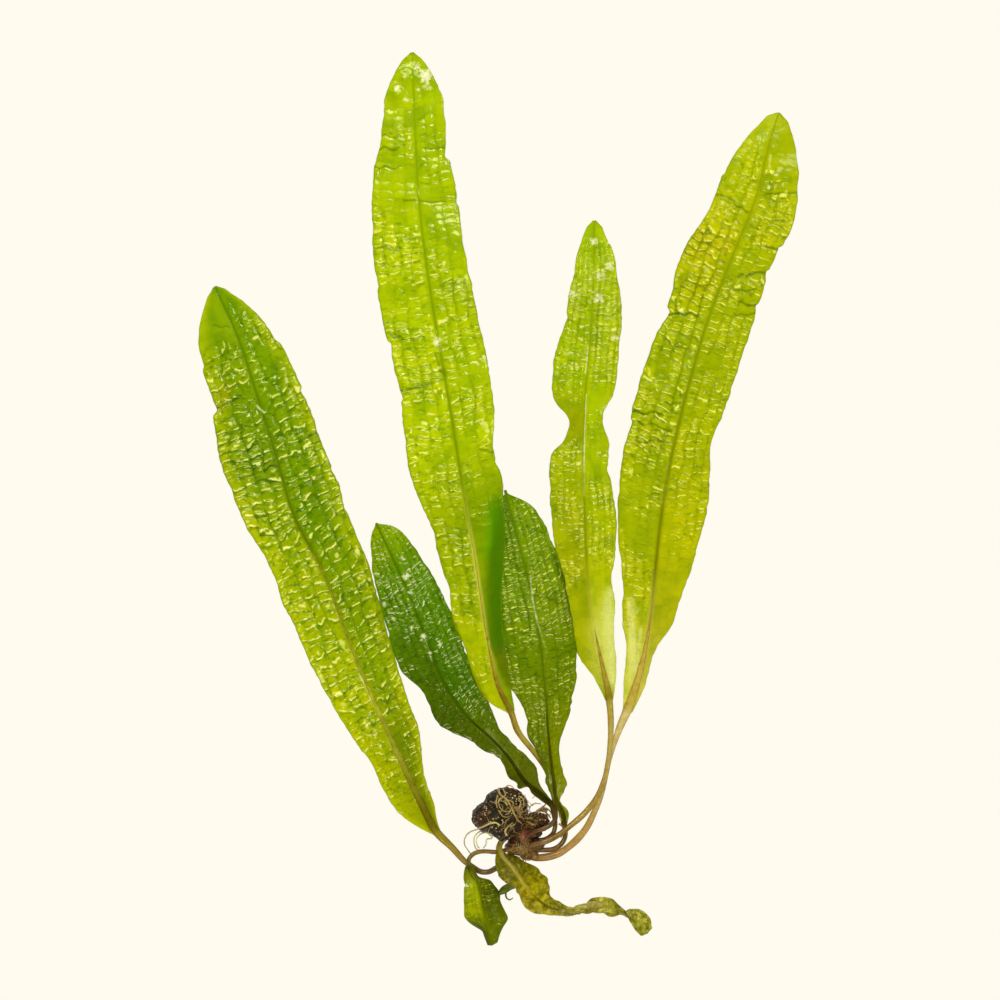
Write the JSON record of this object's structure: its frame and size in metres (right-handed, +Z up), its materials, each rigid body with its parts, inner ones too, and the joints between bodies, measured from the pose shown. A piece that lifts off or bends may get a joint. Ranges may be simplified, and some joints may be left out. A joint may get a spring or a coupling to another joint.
{
  "type": "aquatic plant",
  "caption": "Bare-rooted aponogeton lying flat: dark tuber, curved stalks, long blistered strap leaves fanned out, a withered twisted leaf and thin pale roots.",
  "frame": {"origin": "middle of the flat underside that the tuber rests on", "axes": "+Z up from the surface the plant lies on, +Y along the longest leaf towards its tip, +X to the right seen from above"},
  "size_m": [0.1996, 0.2976, 0.0145],
  "materials": {
    "tuber": "rough, damp tuber skin",
    "crown": "damp fibrous crown",
    "leaf_lime": "wet, thin, blistered leaf",
    "leaf_green": "wet, thin, blistered leaf",
    "leaf_dark": "wet, thin leaf",
    "leaf_withered": "wet, limp, decaying leaf",
    "root": "damp root"
  },
  "bodies": {
    "root": {"tuber": "tuber", "crown": "crown", "leaf_far_left": "leaf_green", "leaf_tall": "leaf_lime", "leaf_narrow": "leaf_lime", "leaf_far_right": "leaf_lime", "leaf_short_left": "leaf_dark", "leaf_short_middle": "leaf_green", "leaf_withered": "leaf_withered", "leaf_folded": "leaf_green", "root_top": "root", "root_side": "root", "root_hook": "root", "root_long": "root", "root_loop": "root", "root_low": "root", "root_crest": "root", "root_right": "root", "root_coil": "root", "root_arch": "root", "root_brown": "root", "sprout": "leaf_dark"}
  },
  "joints": []
}
